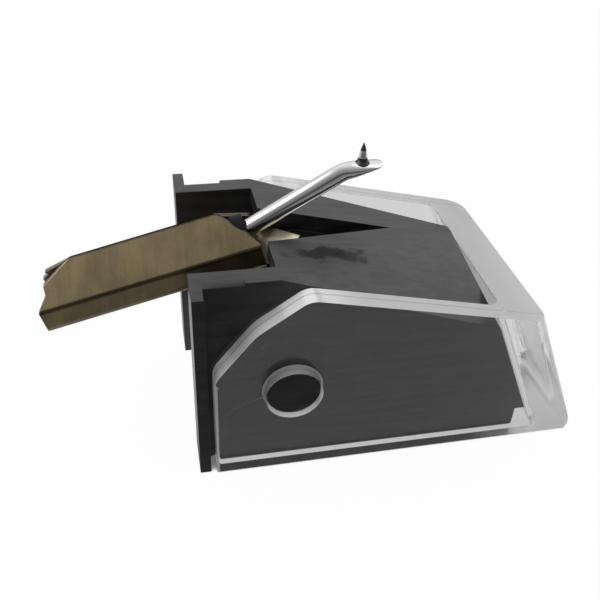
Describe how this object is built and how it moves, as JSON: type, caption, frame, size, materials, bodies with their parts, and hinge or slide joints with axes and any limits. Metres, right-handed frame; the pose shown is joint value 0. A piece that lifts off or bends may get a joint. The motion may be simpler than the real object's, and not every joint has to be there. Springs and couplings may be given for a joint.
{
  "type": "turntable stylus assembly",
  "caption": "Removable stylus assembly for a phono cartridge: black shell with folded brass plug, cantilever and diamond tip, and a clear guard that swings on side bosses.",
  "frame": {"origin": "centre of the bounding box in plan, on the surface that the part lies on", "axes": "+X towards the front of the guard, +Z towards the record side, with the stylus tip up"},
  "size_m": [0.0212, 0.0094, 0.0116],
  "materials": {
    "black_plastic": "moulded, semi-gloss",
    "clear_plastic": "clear, polished",
    "brass_sheet": "dull, brushed",
    "aluminium_tube": "polished",
    "shank_steel": "turned",
    "diamond": "ground, dark",
    "damper_rubber": "matte",
    "magnet_metal": "ground"
  },
  "bodies": {
    "root": {"body_shell": "black_plastic", "plug_tube": "brass_sheet", "tie_wire": "shank_steel", "wire_anchor": "brass_sheet"},
    "guard": {"stylus_guard": "clear_plastic"},
    "suspension": {"damper": "damper_rubber"},
    "cantilever": {"cantilever": "aluminium_tube", "magnet": "magnet_metal", "magnet_sleeve": "aluminium_tube", "stylus_shank": "shank_steel", "diamond_tip": "diamond"}
  },
  "joints": [
    {"name": "guard_swing", "type": "hinge", "parent": "root", "child": "guard", "pos_m": [-0.00161, 0, 0.00372], "axis": [0, -1, 0], "range_deg": [0, 42]},
    {"name": "cantilever_sway", "type": "hinge", "parent": "root", "child": "suspension", "pos_m": [-0.00303, 0, 0.00806], "axis": [-0.5165, 0, 0.8563], "range_deg": [-2, 2], "stiffness_Nm_per_rad": 0.0018, "deforming": ["damper", "tie_wire"]},
    {"name": "cantilever_lift", "type": "hinge", "parent": "suspension", "child": "cantilever", "pos_m": [-0.00303, 0, 0.00806], "axis": [0, -1, 0], "range_deg": [-2, 2], "stiffness_Nm_per_rad": 0.0018, "deforming": ["damper", "tie_wire"]}
  ]
}
